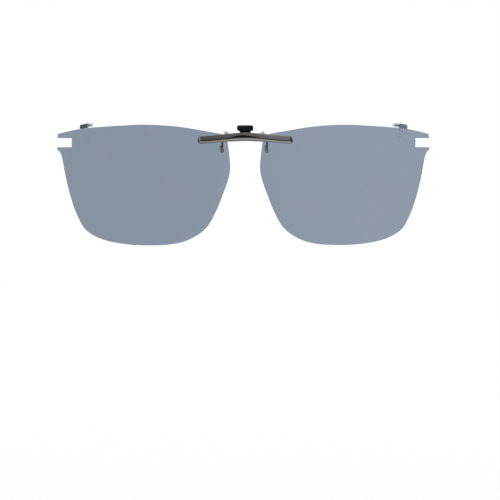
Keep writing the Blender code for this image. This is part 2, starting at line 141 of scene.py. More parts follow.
def make_sky():
    """White to the camera. To everything else, bright behind, above and below, and dim in front."""
    world = bpy.data.worlds.new("studio")
    bpy.context.scene.world = world
    world.use_nodes = True
    tree = world.node_tree
    tree.nodes.clear()
    direction = tree.nodes.new("ShaderNodeTexCoord").outputs["Generated"]
    axes = new_node(tree, "ShaderNodeSeparateXYZ", Vector=direction).outputs
    behind = smooth_ramp(tree, axes[1], -0.35, 0.45, 0.1, 1.0)
    above = smooth_ramp(tree, axes[2], 0.12, 0.7, 0.0, 0.9)
    below = smooth_ramp(tree, axes[2], -0.15, -0.8, 0.0, 0.5)
    beside = smooth_ramp(tree, axes[0], -0.25, 0.4, 0.0, 0.65)
    strength = combine(tree, combine(tree, behind, above), combine(tree, below, beside))
    strength = combine(tree, strength, SKY_LIMIT, "MINIMUM")
    light = new_node(tree, "ShaderNodeBackground", Strength=strength)
    white = new_node(tree, "ShaderNodeBackground", Strength=1.0)
    for background in (light, white):
        background.inputs["Color"].default_value = (1, 1, 1, 1)
    seen = tree.nodes.new("ShaderNodeLightPath").outputs["Is Camera Ray"]
    mix = new_node(tree, "ShaderNodeMixShader", i0=seen, i1=light.outputs[0], i2=white.outputs[0])
    out = tree.nodes.new("ShaderNodeOutputWorld")
    tree.links.new(mix.outputs[0], out.inputs["Surface"])


def area_light(name, place, aim, size, watts):
    """A square soft light at a place, turned to face a point."""
    data = bpy.data.lights.new(name, "AREA")
    data.size = size
    data.energy = watts
    lamp = bpy.data.objects.new(name, data)
    bpy.context.scene.collection.objects.link(lamp)
    lamp.location = place
    lamp.rotation_euler = (Vector(aim) - Vector(place)).to_track_quat("-Z", "Y").to_euler()


def make_floor(half, height):
    """One flat square far below the clip, lit from within so that it is as white as the backdrop."""
    corners = [(-half, -half, height), (half, -half, height), (half, half, height), (-half, half, height)]
    mesh = bpy.data.meshes.new("floor")
    mesh.from_pydata(corners, [], [(0, 1, 2, 3)])
    floor = bpy.data.objects.new("floor", mesh)
    bpy.context.scene.collection.objects.link(floor)
    paint = bpy.data.materials.new("floor_paint")
    paint.use_nodes = True
    shader = paint.node_tree.nodes["Principled BSDF"]
    shader.inputs["Base Color"].default_value = (0.05, 0.05, 0.05, 1)
    shader.inputs["Roughness"].default_value = 0.9
    shader.inputs["Emission Color"].default_value = (1, 1, 1, 1)
    shader.inputs["Emission Strength"].default_value = FLOOR_GLOW
    mesh.materials.append(paint)
    floor.visible_glossy = False


make_sky()
area_light("key", (-0.7, -0.6, 1.1), (0, 0, 0), 0.8, 14)
area_light("fill", (1.0, -0.3, 0.5), (0, 0, 0), 0.6, 4)
make_floor(12, -0.6)
bpy.context.scene.view_settings.view_transform = "Standard"
print("the studio has a sky, two lamps and a floor")

# %% [markdown]
# ## Turning formulas into surfaces
#
# Almost every piece here is a ring of points carried along a path: a wire, a sleeve, a pin, even the bridge
# itself, whose ring is the outline of a channel. So one helper turns rows of rings into a mesh. Each ring is
# joined to the next with four-sided faces, worked out for the whole grid at once. Where a ring shrinks to a
# point its corners are merged, which closes the end, and the faces are then turned outwards.


# %% Grids to meshes
SHARP = math.radians(32)


def ring_faces(rows, columns, first):
    """The corners of the faces between neighbouring rings, each ring closed on itself."""
    row, column = np.meshgrid(np.arange(rows - 1), np.arange(columns), indexing="ij")
    right = (column + 1) % columns
    here, above = row * columns, (row + 1) * columns
    corners = [here + column, here + right, above + right, above + column]
    return np.stack(corners, axis=-1).reshape(-1, 4) + first


def mesh_object(name, vertices, faces):
    """A smooth-shaded object in metres with doubled corners merged and its faces turned outwards."""
    mesh = bpy.data.meshes.new(name)
    mesh.from_pydata((vertices * MM).tolist(), [], faces)
    bm = bmesh.new()
    bm.from_mesh(mesh)
    bmesh.ops.remove_doubles(bm, verts=bm.verts, dist=1e-7)
    bmesh.ops.recalc_face_normals(bm, faces=bm.faces)
    bm.to_mesh(mesh)
    bm.free()
    mesh.shade_smooth()
    mesh.set_sharp_from_angle(angle=SHARP)
    obj = bpy.data.objects.new(name, mesh)
    bpy.context.scene.collection.objects.link(obj)
    return obj


def rings_object(name, *grids):
    """An object from one or more grids of rings, in millimetres, each of shape (rings, points, 3)."""
    vertices = np.concatenate([grid.reshape(-1, 3) for grid in grids])
    starts = np.cumsum([0] + [grid.shape[0] * grid.shape[1] for grid in grids])
    faces = [ring_faces(grid.shape[0], grid.shape[1], start) for grid, start in zip(grids, starts)]
    return mesh_object(name, vertices, np.concatenate(faces).tolist())


def dress(piece, body, slot, finish, *replaced):
    """The piece moves with a body, takes its finish, and stands for the plain solids named."""
    piece.data.materials.clear()
    piece.data.materials.append(finish)
    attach(piece, body)
    if replaced:
        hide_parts(*replaced)
    print(piece.name, len(piece.data.polygons), "faces")
    return piece


def mirrored(grid, sign):
    """The same points, or their mirror image across the middle when sign is -1."""
    return grid * np.array([sign, 1, 1])


def through(points, count):
    """A smooth curve through points: between two of them it is the cubic that leaves and arrives with half
    the step between the neighbours on either side."""
    given = np.asarray(points, float)
    ends = np.vstack([2 * given[0] - given[1], given, 2 * given[-1] - given[-2]])
    along = np.linspace(0, len(given) - 1, count)
    at = np.minimum(along.astype(int), len(given) - 2)
    t = (along - at)[:, None]
    a, b, c, d = ends[at], ends[at + 1], ends[at + 2], ends[at + 3]
    return 0.5 * (2 * b + (c - a) * t + (2 * a - 5 * b + 4 * c - d) * t**2 + (3 * b - a - 3 * c + d) * t**3)


def length_along(path):
    """How far along the path each of its points is."""
    return np.concatenate([[0], np.cumsum(np.linalg.norm(np.diff(path, axis=0), axis=1))])


def carried(path, stations, radii, sides=32, reference=(1, -1, 1)):
    """A circle carried along a path: centre(s) + r(s) (cos a * across + sin a * up), where across is square
    to the path and to a fixed reference direction, and up is square to both."""
    run = length_along(path)
    slopes = np.gradient(path, run, axis=0)
    centre = np.stack([np.interp(stations, run, path[:, k]) for k in range(3)], axis=-1)
    slope = np.stack([np.interp(stations, run, slopes[:, k]) for k in range(3)], axis=-1)
    slope /= np.linalg.norm(slope, axis=1, keepdims=True)
    across = np.cross(slope, np.asarray(reference, float))
    across /= np.linalg.norm(across, axis=1, keepdims=True)
    up = np.cross(across, slope)
    angle = np.linspace(0, 2 * math.pi, sides, endpoint=False)
    circle = np.cos(angle)[:, None] * across[:, None] + np.sin(angle)[:, None] * up[:, None]
    return centre[:, None] + np.asarray(radii)[:, None, None] * circle


def round_end(radius, steps=8):
    """Distances from a dome's tip, and the radii there: r (1 - cos a) and r sin a."""
    angle = np.linspace(0, math.pi / 2, steps)
    return radius * (1 - np.cos(angle)), radius * np.sin(angle)


def wire(path, radius, sides=24, spacing=0.12, **options):
    """A round wire with domed ends."""
    length = length_along(path)[-1]
    near, shrink = round_end(radius)
    middle = np.linspace(radius, length - radius, max(3, int(length / spacing)))[1:-1]
    stations = np.concatenate([near, middle, length - near[::-1]])
    radii = np.concatenate([shrink, np.full(len(middle), radius), shrink[::-1]])
    return carried(path, stations, radii, sides, **options)


def squared_off(wave, power):
    """A sine or cosine raised to a power with its sign kept, which turns a circle into a rounded square."""
    return np.sign(wave) * np.abs(wave) ** power


def hump(value, middle, half, power):
    """e to the minus (distance/half)^power: 1 at the middle, falling off beyond half on either side, and more
    sharply with a higher power."""
    return np.exp(-(((value - middle) / half) ** power))


def both_sides(places, gap):
    """Each place less and plus a gap, where a surface takes a step."""
    return np.concatenate([np.subtract(places, gap), np.add(places, gap)])


def block(centre, half, power=6, rings=28, points=64, power_end=6):
    """A box with rounded edges and slightly crowned faces: |x/a|^p + (|y/b|^q + |z/c|^q)^(p/q) = 1. The powers
    p, along its length, and q, round it, say how square it is."""
    slide = squared_off(np.sin(np.linspace(-math.pi / 2, math.pi / 2, rings)), 2 / power_end)
    size = np.maximum(1 - np.abs(slide) ** power_end, 0) ** (1 / power_end)
    angle = np.linspace(0, 2 * math.pi, points, endpoint=False)
    ring = squared_off(np.stack([np.cos(angle), np.sin(angle)], axis=-1), 2 / power)
    x = np.broadcast_to(slide[:, None] * half[0], (rings, points))
    y = size[:, None] * ring[None, :, 0] * half[1]
    z = size[:, None] * ring[None, :, 1] * half[2]
    return np.stack([x, y, z], axis=-1) + np.asarray(centre, float)


# %% [markdown]
# ## How the front is bent
#
# Spectacle fronts wrap round the face. Seen from above, the clip follows a circle of 330 mm, so a point at x
# lies x squared over twice the radius further back. The lenses also curve gently from top to bottom. The
# bridge bows: its middle stands 1.25 mm above its ends, along half a wave of a cosine.

# %% Bends
WRAP_RADIUS = 330
DROP_RADIUS = 400
DROP_APEX = -8
BRIDGE_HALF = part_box("bridge_cover")[1].x / MM
BRIDGE_DROP = 1.25
PIN_LOW, PIN_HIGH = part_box("hinge_pin")
PIN_Y = (PIN_LOW.y + PIN_HIGH.y) / 2 / MM
PIN_Z = (PIN_LOW.z + PIN_HIGH.z) / 2 / MM


def wrap(x):
    """How far back the front lies at x."""
    return x**2 / (2 * WRAP_RADIUS)


def drop(z):
    """How far back the lens lies at height z, counted from the bridge."""
    return ((z - DROP_APEX) ** 2 - DROP_APEX**2) / (2 * DROP_RADIUS)


def bow(x):
    """How far the bridge's middle line has dropped at x."""
    return -BRIDGE_DROP * (1 - np.cos(math.pi * x / BRIDGE_HALF)) / 2


print("the pin is at", round(PIN_Y, 2), round(PIN_Z, 2), "mm")
print("the bridge reaches", round(BRIDGE_HALF, 2), "mm to each side")

# %% [markdown]
# ## Materials
#
# Each finish is a small network of nodes. Patterns read the Object coordinates, which are metres on the real
# object, so a scratch or a speck has its true size. Two helpers make the usual start: a shader with plain
# numbers set on it, and a noise pattern whose scale is given as the size of its blobs in millimetres.


# %% Material helpers
def new_material(name, color, roughness, metallic=0.0, **inputs):
    """A Principled material with plain numbers, and its node tree and shader."""
    made = bpy.data.materials.new(name)
    made.use_nodes = True
    tree = made.node_tree
    shader = tree.nodes["Principled BSDF"]
    shader.inputs["Base Color"].default_value = (*color, 1)
    shader.inputs["Roughness"].default_value = roughness
    shader.inputs["Metallic"].default_value = metallic
    for key, value in inputs.items():
        shader.inputs[key.replace("_", " ")].default_value = value
    return made, tree, shader


def own_place(tree):
    """The point's own Object coordinates."""
    return tree.nodes.new("ShaderNodeTexCoord").outputs["Object"]


def noise(tree, size, detail=3.0, stretch=(1, 1, 1)):
    """A cloudy pattern from 0 to 1 whose blobs are about size millimetres across, and longer along an axis
    whose stretch is below 1."""
    place = new_node(tree, "ShaderNodeMapping", Vector=own_place(tree), Scale=stretch).outputs[0]
    made = new_node(tree, "ShaderNodeTexNoise", Vector=place, Scale=1 / (size * MM), Detail=detail)
    return made.outputs["Fac"]


def blend_colors(tree, share, first, second):
    """The first colour where share is 0 and the second where it is 1."""
    mix = tree.nodes.new("ShaderNodeMix")
    mix.data_type = "RGBA"
    tree.links.new(share, mix.inputs[0])
    for socket, color in ((mix.inputs[6], first), (mix.inputs[7], second)):
        if isinstance(color, bpy.types.NodeSocket):
            tree.links.new(color, socket)
        else:
            socket.default_value = (*color, 1)
    return mix.outputs[2]


def bumps(tree, shader, height, depth):
    """Small relief: depth is how many millimetres high the pattern stands."""
    made = new_node(tree, "ShaderNodeBump", Height=height, Strength=1.0, Distance=depth * MM)
    tree.links.new(made.outputs[0], shader.inputs["Normal"])


# %% [markdown]
# ### The tinted lens
#
# The lens is a sheet of clear plastic with a dark polarising film laminated inside. It filters what is seen
# through it and mirrors a little of the room, more at grazing angles. Bending light through 1.1 mm would
# change nothing that can be seen, so a tinted Transparent shader stands for the filter, and everything behind
# keeps its light. Light crosses two faces, so each has the square root of the whole tint.
# The tint wanders a little, a few specks of dust sit on it, and a fingertip has left its mark in the gloss.


# %% Lens finish
def how_slanted(tree):
    """0 where a face is seen square on, and 1 where it is seen along itself."""
    return new_node(tree, "ShaderNodeLayerWeight", Blend=0.5).outputs["Facing"]


def see_through(tree, shader, filtered, least=0.04, most=1.0):
    """Mixes a filter and a mirror. The mirror's share grows from least to most with the fifth power of how
    slanted the view is, the same from both sides of a face."""
    rise = combine(tree, how_slanted(tree), 5.0, "POWER")
    share = combine(tree, combine(tree, rise, most - least, "MULTIPLY"), least)
    clear = tree.nodes.new("ShaderNodeBsdfTransparent")
    if isinstance(filtered, bpy.types.NodeSocket):
        tree.links.new(filtered, clear.inputs["Color"])
    else:
        clear.inputs["Color"].default_value = (*filtered, 1)
    mix = new_node(tree, "ShaderNodeMixShader", i0=share, i1=clear.outputs[0], i2=shader.outputs[0])
    tree.links.new(mix.outputs[0], tree.nodes["Material Output"].inputs["Surface"])


def make_lens_finish():
    made, tree, shader = new_material("tinted_lens", (0.9, 0.92, 0.95), 0.04, metallic=1.0)
    tint = blend_colors(tree, noise(tree, 14), (0.496, 0.557, 0.618), (0.526, 0.557, 0.624))
    specks = new_node(tree, "ShaderNodeTexVoronoi", Vector=own_place(tree), Scale=1 / (9 * MM))
    dust = smooth_ramp(tree, specks.outputs["Distance"], 0.012, 0.03, 0.7, 0.0)
    tint = blend_colors(tree, dust, tint, (0.30, 0.33, 0.38))
    marks = smooth_ramp(tree, noise(tree, 6, 5, (1, 1, 0.5)), 0.45, 0.75, 0.03, 0.14)
    tree.links.new(marks, shader.inputs["Roughness"])
    see_through(tree, shader, tint)
    return made


def make_edge_finish():
    """The sawn and polished edge, where the sheet is seen through its whole depth."""
    made, tree, shader = new_material("lens_edge", (0.30, 0.36, 0.42), 0.35)
    color = blend_colors(tree, noise(tree, 0.8, 4), (0.27, 0.32, 0.38), (0.33, 0.39, 0.45))
    tree.links.new(color, shader.inputs["Base Color"])
    bumps(tree, shader, noise(tree, 0.12), 0.003)
    return made


LENS = make_lens_finish()
LENS_EDGE = make_edge_finish()

# %% [markdown]
# ### Metals
#
# The bridge is plated in gunmetal: a dark, slightly warm metal with a soft shine. Its colour carries painted
# shade: dark in the groove above the bead, and in a crescent in the thumb scoop, where it is painted shade and
# a painted reflection of the black tab. The distance from the groove is the height plus the bow, and the
# crescent reaches up from it by a length that falls off along x. Fine wiping marks run along the bar. The
# hooks are blued, a cooler and greener dark, and the hidden parts are dull nickel.


# %% Metal finishes
GROOVE = 0.47
# Painted shade in the groove, and a painted crescent of shade and of the tab's reflection in the scoop: its
# middle, its half width, how high it reaches there and far off, and its colour.
PAINTED_SHADE_MIDDLE = -1.3
PAINTED_SHADE_HALF = 7
PAINTED_SHADE_HIGH, PAINTED_SHADE_LOW = 1.2, 0.36
PAINTED_SHADE_COLOR = (0.012, 0.012, 0.014)


def make_gunmetal():
    made, tree, shader = new_material("gunmetal", (0.30, 0.29, 0.28), 0.22, metallic=1.0)
    cloud = blend_colors(tree, noise(tree, 2.5, 4), (0.20, 0.195, 0.19), (0.28, 0.27, 0.265))
    x, _, z = new_node(tree, "ShaderNodeSeparateXYZ", Vector=own_place(tree)).outputs
    wave = combine(tree, combine(tree, x, math.pi / (BRIDGE_HALF * MM), "MULTIPLY"), 0.0, "COSINE")
    risen = combine(tree, combine(tree, 1.0, wave, "SUBTRACT"), BRIDGE_DROP / 2 * MM, "MULTIPLY")
    from_groove = combine(tree, combine(tree, z, risen), GROOVE * MM, "ADD")
    # Painted shade: darkest just above the bead, and reaching up highest round the scoop under the tab, where
    # it also paints the tab's reflection.
    aside = combine(tree, combine(tree, x, -PAINTED_SHADE_MIDDLE * MM), 0.0, "ABSOLUTE")
    reach = smooth_ramp(tree, aside, 0, PAINTED_SHADE_HALF * MM, PAINTED_SHADE_HIGH * MM, PAINTED_SHADE_LOW * MM)
    lower = smooth_ramp(tree, from_groove, -0.14 * MM, 0.1 * MM, 0.0, 0.97)
    upper = smooth_ramp(tree, combine(tree, from_groove, reach, "SUBTRACT"), -0.34 * MM, 0.12 * MM, 1.0, 0.0)
    painted_shade = combine(tree, lower, upper, "MULTIPLY")
    tree.links.new(blend_colors(tree, painted_shade, cloud, PAINTED_SHADE_COLOR), shader.inputs["Base Color"])
    wipes = noise(tree, 0.25, 4, (0.12, 1, 1))
    tree.links.new(smooth_ramp(tree, wipes, 0.3, 0.8, 0.13, 0.26), shader.inputs["Roughness"])
    bumps(tree, shader, wipes, 0.002)
    return made


def make_blued():
    made, tree, shader = new_material("blued_steel", (0.2, 0.25, 0.25), 0.3, metallic=0.85)
    cloud = blend_colors(tree, noise(tree, 0.8, 4), (0.13, 0.17, 0.19), (0.20, 0.245, 0.27))
    tree.links.new(cloud, shader.inputs["Base Color"])
    grain = noise(tree, 0.2, 4)
    tree.links.new(smooth_ramp(tree, grain, 0.3, 0.8, 0.24, 0.4), shader.inputs["Roughness"])
    bumps(tree, shader, grain, 0.003)
    return made


def make_nickel():
    made, tree, shader = new_material("dull_nickel", (0.5, 0.49, 0.47), 0.3, metallic=1.0)
    cloud = blend_colors(tree, noise(tree, 1.2, 4), (0.32, 0.315, 0.30), (0.45, 0.44, 0.425))
    tree.links.new(cloud, shader.inputs["Base Color"])
    grain = noise(tree, 0.15, 4, (0.2, 1, 1))
    tree.links.new(smooth_ramp(tree, grain, 0.25, 0.8, 0.22, 0.42), shader.inputs["Roughness"])
    bumps(tree, shader, grain, 0.002)
    return made


GUNMETAL = make_gunmetal()
BLUED = make_blued()
NICKEL = make_nickel()

# %% [markdown]
# ### Plastics and silicone
#
# The tab is moulded in black plastic with a fine spark-eroded grain. The bushes are natural nylon, which is
# slightly milky. The sleeves and the bumper are clear silicone: soft, a little cloudy, and dark along their
# outlines, where a real tube bends the light away. The feet are clear acrylic, polished like glass. They are
# bonded to the lens, so they mirror little and hardly show.


# %% Plastic finishes
def make_black():
    made, tree, shader = new_material("moulded_black", (0.002, 0.0024, 0.0035), 0.4, Specular_IOR_Level=0.15)
    grain = noise(tree, 0.07, 3)
    tree.links.new(smooth_ramp(tree, noise(tree, 0.8), 0.3, 0.7, 0.34, 0.5), shader.inputs["Roughness"])
    bumps(tree, shader, grain, 0.003)
    return made


def make_nylon():
    milky = {"Subsurface_Weight": 0.3, "Subsurface_Scale": 0.3 * MM}
    made, tree, shader = new_material("natural_nylon", (0.74, 0.75, 0.74), 0.45, **milky)
    color = blend_colors(tree, noise(tree, 0.5), (0.70, 0.71, 0.69), (0.79, 0.80, 0.79))
    tree.links.new(color, shader.inputs["Base Color"])
    return made


def make_silicone():
    made, tree, shader = new_material("clear_silicone", (0.72, 0.75, 0.78), 0.25)
    cloud = blend_colors(tree, noise(tree, 0.6, 4), (0.93, 0.95, 0.96), (0.98, 0.985, 0.99))
    rim = smooth_ramp(tree, how_slanted(tree), 0.3, 0.85, 0.0, 0.9)
    filtered = blend_colors(tree, rim, cloud, (0.10, 0.12, 0.15))
    see_through(tree, shader, filtered, 0.1)
    return made


def make_acrylic():
    made, tree, shader = new_material("clear_acrylic", (0.95, 0.96, 0.97), 0.05, metallic=1.0)
    tree.links.new(smooth_ramp(tree, noise(tree, 1.0), 0.3, 0.7, 0.03, 0.1), shader.inputs["Roughness"])
    see_through(tree, shader, (0.985, 0.99, 0.993), 0.0, 0.15)
    return made


BLACK = make_black()
NYLON = make_nylon()
SILICONE = make_silicone()
ACRYLIC = make_acrylic()

# %% [markdown]
# ## The lenses
#
# A lens is cut from a curved sheet along the outline of the spectacles. The outline has sharp corners only
# where the temple notch is sawn in, so it is two smooth stretches and the notch, joined end to end. To make a
# surface of it, the outline is first moved in by the width of its rounded edge. Points on a regular net fill
# the inside, and a Delaunay triangulation joins them to the outline without slivers. Every point is then
# pushed back by the wrap and the drop, which bends the whole sheet at once. The edge has its own finish.

# %% Lens outline
TOP_EDGE = [
    (6.7, -1.1), (7.15, 0.2), (8.7, 0.95), (16, 2.3), (26, 3.85), (37, 4.5), (48, 4.05), (57, 3.4),
    (62, 2.85), (68.7, 1.35), (69.65, 0.85), (69.95, -0.55),
]
NOTCH = [(64.6, -0.55), (64.6, -3.9), (70.0, -3.95)]
SIDE_AND_BOTTOM = [
    (70.0, -4.8), (68.8, -6.1), (68.0, -8.8), (66.6, -16.2), (64.5, -24.2), (62.2, -30.2), (59.0, -35.2),
    (52.6, -38.6), (44.3, -40.2), (36, -40.65), (27, -40.15), (20.3, -38.2), (14.6, -34.2), (11.0, -28.2),
    (8.55, -22.2), (6.4, -16.2), (5.6, -11.8), (6.0, -6.2), (6.7, -1.1),
]
LENS_FRONT = -3.4
LENS_THICKNESS = 1.1
EDGE_ROUNDING = 0.16
EDGE_SLANT = 0.8
NET_SPACING = 1.6
CURVE_STEPS = 12


def lens_outline():
    """The closed outline as points in the plane, about half a millimetre apart on its curves."""
    top = through(TOP_EDGE, CURVE_STEPS * (len(TOP_EDGE) - 1) + 1)
    side = through(SIDE_AND_BOTTOM, CURVE_STEPS * (len(SIDE_AND_BOTTOM) - 1) + 1)
    return np.vstack([top, np.array(NOTCH), side[:-1]])


def moved_in(outline, distance):
    """Each point moved inside, square to the outline: along the sum of the two edge normals there, over one
    plus their product."""
    edge = np.roll(outline, -1, axis=0) - outline
    edge /= np.linalg.norm(edge, axis=1, keepdims=True)
    normal = np.stack([edge[:, 1], -edge[:, 0]], axis=-1)
    before = np.roll(normal, 1, axis=0)
    share = 1 + np.sum(normal * before, axis=1, keepdims=True)
    return outline + distance * (normal + before) / share


def inside(points, outline):
    """True for each point that a level ray leaves the outline an odd number of times from."""
    start, end = outline[None], np.roll(outline, -1, axis=0)[None]
    x, z = points[:, None, 0], points[:, None, 1]
    spans = (start[..., 1] > z) != (end[..., 1] > z)
    rise = np.where(end[..., 1] == start[..., 1], 1, end[..., 1] - start[..., 1])
    cross = start[..., 0] + (z - start[..., 1]) / rise * (end[..., 0] - start[..., 0])
    return np.sum(spans & (x < cross), axis=1) % 2 == 1


def filled(outline):
    """Points and triangles that fill an outline, with a net of points inside it."""
    low, high = outline.min(0), outline.max(0)
    marks = [np.arange(a, b, NET_SPACING) for a, b in zip(low, high)]
    net = np.stack(np.meshgrid(*marks), axis=-1).reshape(-1, 2)
    net = net[inside(net, moved_in(outline, 0.45 * NET_SPACING))]
    points = np.vstack([outline, net])
    count = len(outline)
    edges = [(i, (i + 1) % count) for i in range(count)]
    found = delaunay_2d_cdt([Vector(p) for p in points.tolist()], edges, [], 0, 1e-6)
    points = np.array([tuple(p) for p in found[0]])
    triangles = np.array(found[2])
    return points, triangles[inside(points[triangles].mean(1), outline)]


def bent(points, depth):
    """Points of the plane laid on the lens, that far behind its front."""
    x, z = points[..., 0], points[..., 1]
    return np.stack([x, LENS_FRONT + wrap(x) + drop(z) + depth, z], axis=-1)


def make_lens(side, sign, outline, face, triangles):
    """Front, back and the rounded edge between them, which is a quarter circle at each face. Faces turned
    well away from the front get the edge's finish."""
    turn = np.linspace(0, math.pi / 2, 5)
    insets = EDGE_ROUNDING * (1 - np.sin(turn))
    depths = EDGE_ROUNDING * (1 - np.cos(turn))
    insets = np.concatenate([insets, insets[::-1]])
    depths = np.concatenate([depths, LENS_THICKNESS - depths[::-1]])
    rim = np.stack([bent(moved_in(outline, a), b) for a, b in zip(insets, depths)])
    front, rear = bent(face, 0), bent(face, LENS_THICKNESS)
    vertices = np.concatenate([front, rear, rim.reshape(-1, 3)])
    sheets = np.concatenate([triangles, triangles[:, ::-1] + len(face)]).tolist()
    edges = ring_faces(len(rim), len(outline), 2 * len(face)).tolist()
    lens = mesh_object(f"tinted_lens_{side}", mirrored(vertices, sign), sheets + edges)
    dress(lens, "front", "lens_tint", LENS, f"lens_{side}")
    lens.data.materials.append(LENS_EDGE)
    normals = np.zeros(len(lens.data.polygons) * 3, np.float32)
    lens.data.polygons.foreach_get("normal", normals)
    slanted = np.abs(normals.reshape(-1, 3)[:, 1]) < EDGE_SLANT
    lens.data.polygons.foreach_set("material_index", slanted.astype(np.int32))


OUTLINE = lens_outline()
FACE, TRIANGLES = filled(moved_in(OUTLINE, EDGE_ROUNDING))
for side, sign in SIDES:
    make_lens(side, sign, OUTLINE, FACE, TRIANGLES)
print("a lens is", np.round(OUTLINE.max(0) - OUTLINE.min(0), 1), "mm")

# %% [markdown]
# ## The bridge cover
#
# The cover is the bright bar across the front: a pressed channel, open behind, with a rolled bead along its
# lower edge and round both ends, and a shallow scoop under the tab for the thumb. It could be
# modelled by pushing vertices about, but its front is easier to say as a height over every point: each
# feature is one term that depends on how far the point is from the bar's edge. Rings across the channel
# are carried along the bar, and the ring's inner side closes up near the ends to make the end walls.
# A hump of x makes each slow change along the bar: the scoop, a waist on each side and a belly below.

# %% Bridge cover
COVER_FRONT = -5.1
COVER_REAR = -3.5
COVER_HALF_HEIGHT = 1.5
COVER_CORNER = 1.1
COVER_WALL = 0.45
FRONT_WALL = 0.54
FLANGE = 0.35
MOUTH_HALF = 7.3
BEAD_HEIGHT = 0.2
BEAD_INNER = 0.3
BEAD_OUTER = 1.0
LIP_ROUNDING = 0.26
LIP_EASING = 0.12
ROLL = 0.12
SCOOP_DEPTH = 0.14
SCOOP_ALONG, SCOOP_ACROSS = (-0.6, 4.6), (0.1, 0.6)
WAIST_DEPTH, WAIST_ALONG = 0.1, (11.5, 3.5)
BELLY_DEPTH, BELLY_ALONG = 0.14, (0, 6.5)
STEP_GAP = 0.01


def edge_distance(x, t, top):
    """How far a point of the bar's front is from its rounded outline, whose upper edge is at top."""
    middle, half = (top - COVER_HALF_HEIGHT) / 2, (top + COVER_HALF_HEIGHT) / 2
    a = np.abs(x) - (BRIDGE_HALF - COVER_CORNER)
    b = np.abs(t - middle) - (half - COVER_CORNER)
    outside = np.hypot(np.maximum(a, 0), np.maximum(b, 0))
    return COVER_CORNER - outside - np.minimum(np.maximum(a, b), 0)


def cover_depth(x, t):
    """How far the front lies behind the bead's crest: an S-shaped step down from the bead, a quarter circle
    at the lip, an upper part that rolls back, and the thumb scoop."""
    radius = LIP_ROUNDING - LIP_EASING * np.clip((t + 0.2) / 1.2, 0, 1)
    lip = np.clip(edge_distance(x, t, COVER_HALF_HEIGHT), 0, radius)
    rounded = radius - np.sqrt(radius**2 - (radius - lip) ** 2)
    step = np.clip((edge_distance(x, t, 10) - BEAD_INNER) / (BEAD_OUTER - BEAD_INNER), 0, 1)
    rolled = ROLL * np.clip((t + 0.3) / 1.6, 0, 1) ** 2
    scoop = SCOOP_DEPTH * hump(x, *SCOOP_ALONG, 4) * hump(t, *SCOOP_ACROSS, 2)
    return BEAD_HEIGHT * step**2 * (3 - 2 * step) + rounded + rolled + scoop


def cover_stations():
    """Places along the bar, close together at the round ends and where the channel or its mouth begins."""
    ends = BRIDGE_HALF - COVER_CORNER * (1 - np.sin(np.linspace(0, math.pi / 2, 14)))
    steps = both_sides([MOUTH_HALF, BRIDGE_HALF - COVER_WALL], STEP_GAP)
    right = np.unique(np.concatenate([np.linspace(0, BRIDGE_HALF - COVER_CORNER, 70), ends, steps]))
    return np.concatenate([-right[:0:-1], right])


def make_cover():
    """Rings across the channel: up its front, then round its back, whose corners close up at the ends."""
    x = cover_stations()[:, None]
    from_end = np.clip(BRIDGE_HALF - np.abs(x), 0, COVER_CORNER)
    waist = WAIST_DEPTH * hump(np.abs(x), *WAIST_ALONG, 4)
    corner = np.sqrt(COVER_CORNER**2 - (COVER_CORNER - from_end) ** 2)
    half = COVER_HALF_HEIGHT - waist - COVER_CORNER + corner
    hollow = np.abs(x) < BRIDGE_HALF - COVER_WALL
    floor = np.where(hollow, COVER_FRONT + FRONT_WALL, COVER_REAR)
    top_rear = np.where(np.abs(x) < MOUTH_HALF, COVER_FRONT + FRONT_WALL, COVER_REAR)
    lower = half + BELLY_DEPTH * hump(x, *BELLY_ALONG, 4)
    share = np.sin(np.linspace(-math.pi / 2, math.pi / 2, 45))[None]
    front_t = share * np.where(share > 0, half, lower)
    front_y = COVER_FRONT + cover_depth(x, front_t)
    inner = half - FLANGE
    back_t = np.concatenate([half, half, inner, inner, -inner, -inner, -lower, -lower], axis=1)
    back_y = np.concatenate([
        (front_y[:, -1:] + top_rear) / 2, top_rear, top_rear, np.minimum(floor, top_rear), floor,
        np.full_like(x, COVER_REAR), np.full_like(x, COVER_REAR), (front_y[:, :1] + COVER_REAR) / 2,
    ], axis=1)
    t = np.concatenate([front_t, back_t], axis=1)
    y = np.concatenate([front_y, back_y], axis=1)
    rings = np.stack([np.broadcast_to(x, t.shape), y + wrap(x), t + bow(x)], axis=-1)
    caps = np.broadcast_to(rings[[0, -1]].mean(1, keepdims=True), (2, t.shape[1], 3))
    rings = np.concatenate([caps[:1], rings, caps[1:]])
    return dress(rings_object("bridge_bar", rings), "front", "gunmetal", GUNMETAL, "bridge_cover")


make_cover()

# %% [markdown]
# ## The pinch tab
#
# A fingertip pulls this black tab towards the thumb on the bar. It is a moulded cap: a pill-shaped
# grip that narrows through a chamfer to a flat neck. That is a pile of level slices, each a rounded
# rectangle, whose half width and half depth follow two profiles of height. Fine upright ribs on its front and
# back stop the finger slipping: a cosine of x, faded out towards the ends, the top and the neck.

# %% Pinch tab
TAB_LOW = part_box("pinch_tab")[0] / MM
TAB_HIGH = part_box("pinch_tab")[1] / MM
TAB_PROFILE = [
    (0.00, 2.00, 0.42), (0.03, 2.05, 0.45), (0.55, 2.05, 0.45), (0.70, 2.08, 0.52), (0.86, 2.50, 0.85),
    (1.05, 2.82, 1.04), (1.35, 3.00, 1.12), (1.75, 3.05, 1.15), (2.15, 3.05, 1.14), (2.50, 3.02, 1.09),
    (2.72, 2.93, 0.99), (2.88, 2.75, 0.82), (2.98, 2.45, 0.58), (3.02, 2.0, 0.3),
]
RIB_SPACING = 0.55
RIB_DEPTH = 0.09


